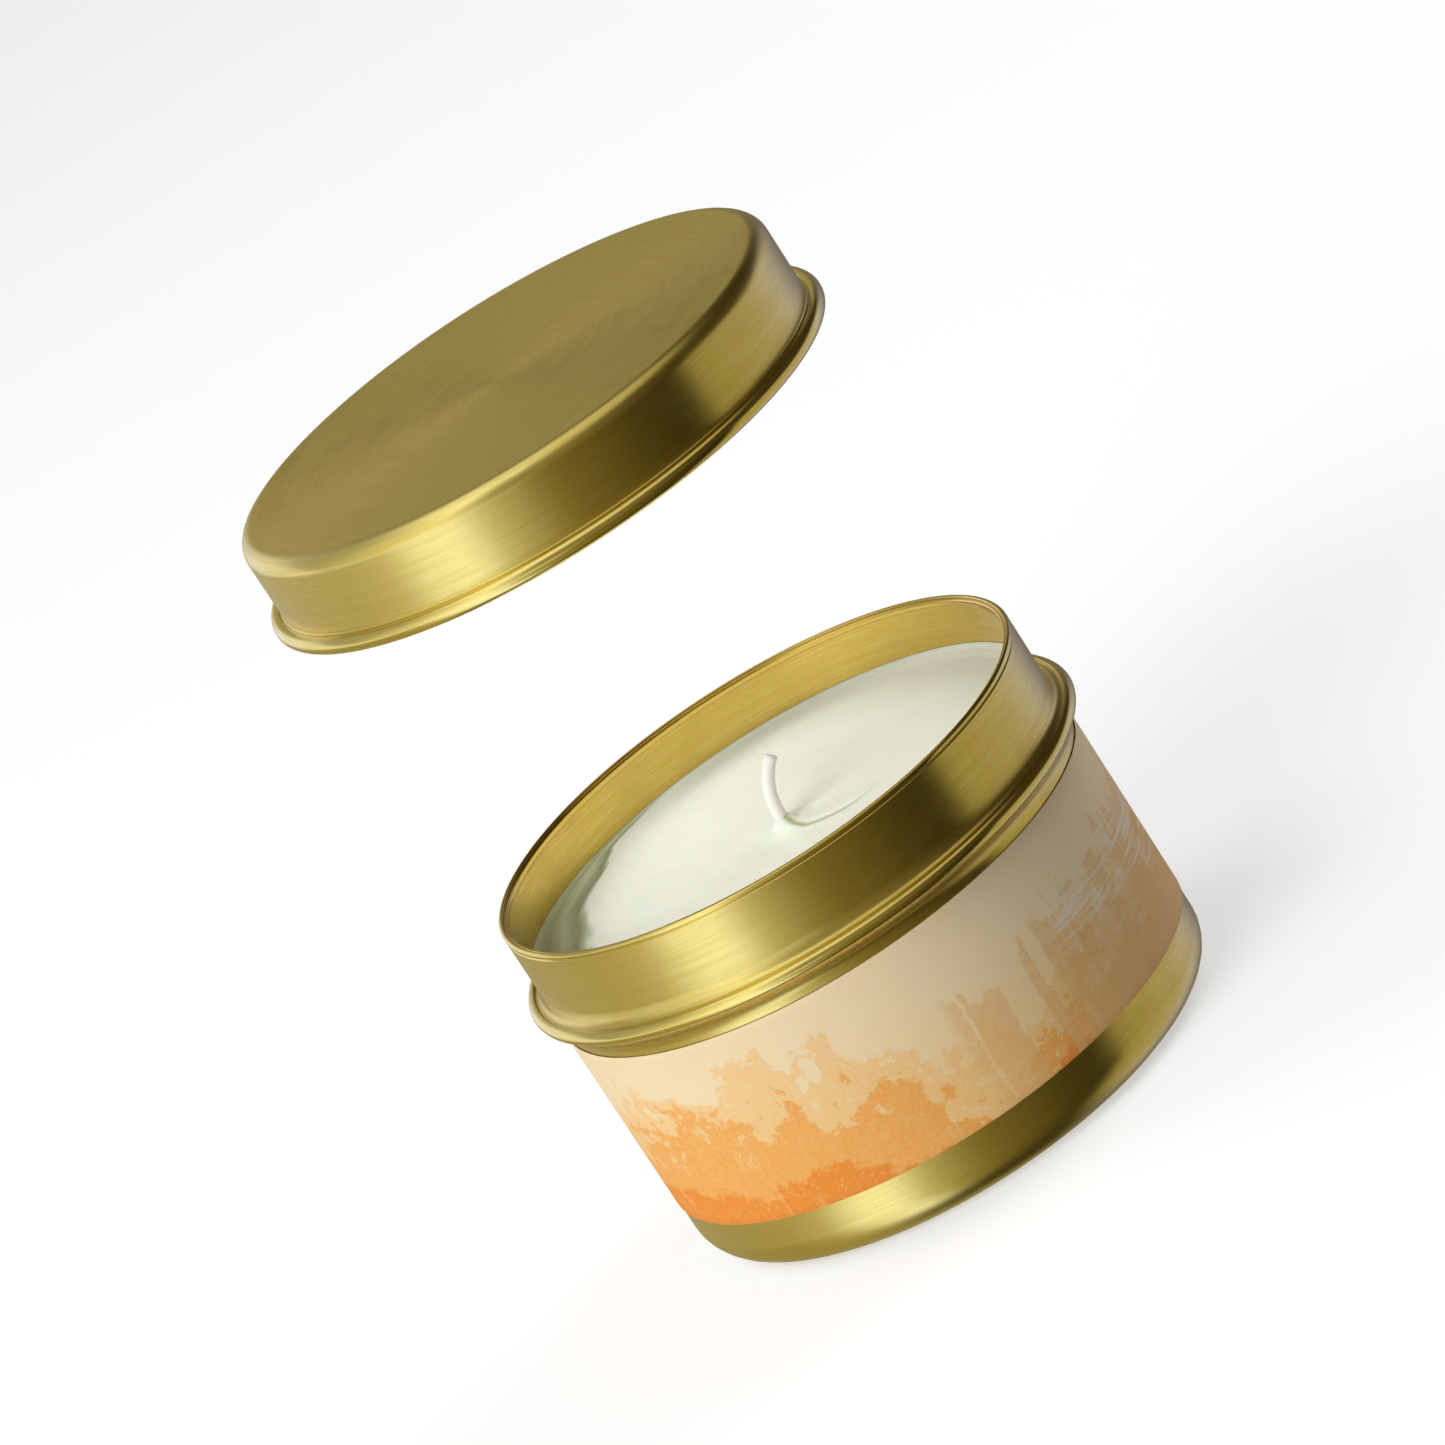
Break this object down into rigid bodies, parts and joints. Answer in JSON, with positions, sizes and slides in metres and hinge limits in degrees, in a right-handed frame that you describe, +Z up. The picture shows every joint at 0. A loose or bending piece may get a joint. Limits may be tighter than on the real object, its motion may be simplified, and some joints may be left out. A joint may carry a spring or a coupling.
{
  "type": "candle tin",
  "caption": "Round drawn-metal candle tin with a rolled rim, beaded shoulder and paper band, filled with wax and a wick, under a raised slip-on lid.",
  "frame": {"origin": "on the tin's axis, at the plane of the ring that it stands on", "axes": "+Z up along the tin's axis, -Y towards the front of the label, +X to the right seen from the front"},
  "size_m": [0.0822, 0.0822, 0.1148],
  "materials": {
    "gold_tinplate": "gold lacquer over brushed tinplate, satin",
    "label_paper": "printed paper, matt, a cream to orange wash",
    "candle_wax": "poured wax, ivory, satin",
    "waxed_cotton": "braided cotton coated in wax",
    "plain_tinplate": "plain tinplate, satin",
    "sticker_foam": "double-sided adhesive foam, matt"
  },
  "bodies": {
    "tin": {"tin_body": "gold_tinplate", "label": "label_paper", "wax_fill": "candle_wax", "wick": "waxed_cotton", "wick_sustainer": "plain_tinplate", "wick_sticker": "sticker_foam"},
    "lid": {"lid": "gold_tinplate"}
  },
  "joints": [
    {"name": "lid_lift", "type": "slide", "parent": "tin", "child": "lid", "axis": [0, 0, 1], "range_m": [-0.06, 0]}
  ]
}
